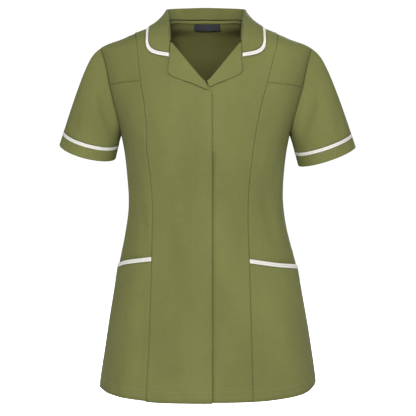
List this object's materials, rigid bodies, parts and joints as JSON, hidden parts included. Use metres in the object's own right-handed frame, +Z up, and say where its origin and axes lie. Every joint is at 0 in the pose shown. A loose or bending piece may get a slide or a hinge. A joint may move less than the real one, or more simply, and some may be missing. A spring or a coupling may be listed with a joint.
{
  "type": "medical tunic",
  "caption": "Short-sleeved olive medical tunic with off-white piping, turned collar, concealed front opening and hip pockets, hollow and in its worn form.",
  "frame": {"origin": "between the shoulders, level with the inner ends of the shoulder seams, where the tunic hangs on its wearer", "axes": "+X to the wearer's left, -Y to the front, +Z up"},
  "size_m": [0.5616, 0.2825, 0.7427],
  "materials": {
    "olive_cloth": "matte twill",
    "piping": "matte",
    "neck_tape": "matte",
    "label": "woven, slight sheen"
  },
  "bodies": {
    "root": {"back": "olive_cloth", "collar": "olive_cloth", "collar_piping": "piping", "cuff_band_left": "olive_cloth", "cuff_band_right": "olive_cloth", "front_overlap": "olive_cloth", "front_underlap": "olive_cloth", "front_yoke_left": "olive_cloth", "front_yoke_right": "olive_cloth", "lapel_left": "olive_cloth", "lapel_right": "olive_cloth", "neck_label": "label", "neck_tape": "neck_tape", "pocket_left": "olive_cloth", "pocket_piping_left": "piping", "pocket_piping_right": "piping", "pocket_right": "olive_cloth", "side_front_left": "olive_cloth", "side_front_right": "olive_cloth", "sleeve_left": "olive_cloth", "sleeve_piping_left": "piping", "sleeve_piping_right": "piping", "sleeve_right": "olive_cloth"}
  },
  "joints": []
}
